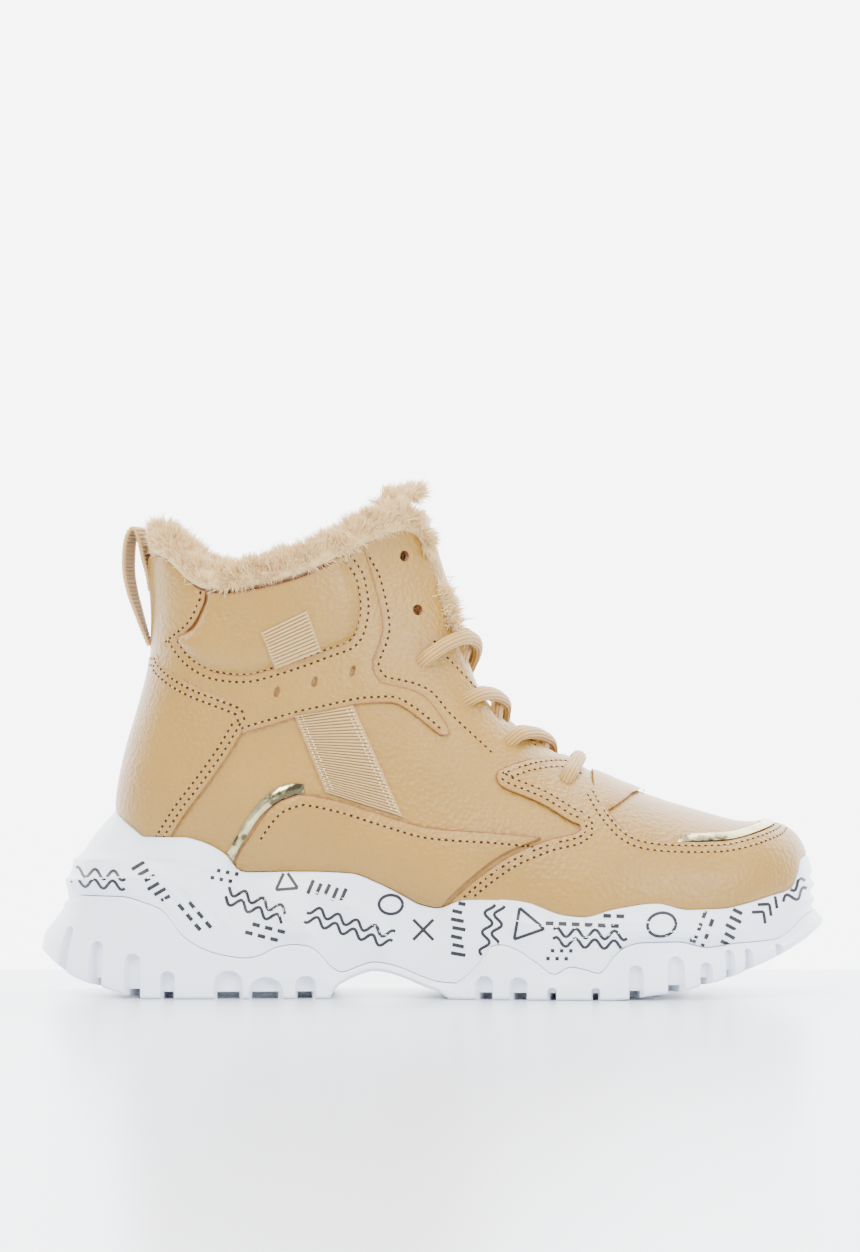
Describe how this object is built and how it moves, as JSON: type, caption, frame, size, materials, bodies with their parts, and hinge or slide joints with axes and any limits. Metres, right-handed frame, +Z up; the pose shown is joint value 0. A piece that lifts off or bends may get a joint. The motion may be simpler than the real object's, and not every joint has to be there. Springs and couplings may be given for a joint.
{
  "type": "hiking boot",
  "caption": "High lace-up winter hiking boot for the right foot, with a deep moulded lugged sole, leather overlays, fur-lined collar and heel pull loop.",
  "frame": {"origin": "on the floor under the middle of the boot's box", "axes": "+X from heel to toe, +Y towards the inner side of the foot, +Z up"},
  "size_m": [0.281, 0.1078, 0.1835],
  "materials": {
    "leather": "fine pebbled grain, satin",
    "white_rubber": "moulded, satin",
    "fur": "long soft pile",
    "webbing": "ribbed grosgrain tape",
    "gold_trim": "pale gold metallic foil",
    "lace": "ribbed oval braid",
    "insole_cloth": "napped cloth"
  },
  "bodies": {
    "root": {"outsole": "white_rubber", "midsole": "white_rubber", "insole": "insole_cloth", "upper": "leather", "tongue": "leather", "tongue_fur": "fur", "fur_collar": "fur", "heel_counter": "leather", "toe_guard": "leather", "toe_trim": "gold_trim", "eyestay": "leather", "midfoot_strap_outer": "leather", "midfoot_strap_inner": "leather", "foxing_outer": "leather", "foxing_inner": "leather", "side_trim_outer": "gold_trim", "side_trim_inner": "gold_trim", "collar_pad_outer": "leather", "collar_pad_inner": "leather", "collar_tab_outer": "webbing", "collar_tab_inner": "webbing", "side_webbing_outer": "webbing", "side_webbing_inner": "webbing", "lace_bar": "lace", "lace_cross_1": "lace", "lace_cross_2": "lace", "lace_cross_3": "lace", "pull_loop": "webbing"}
  },
  "joints": []
}
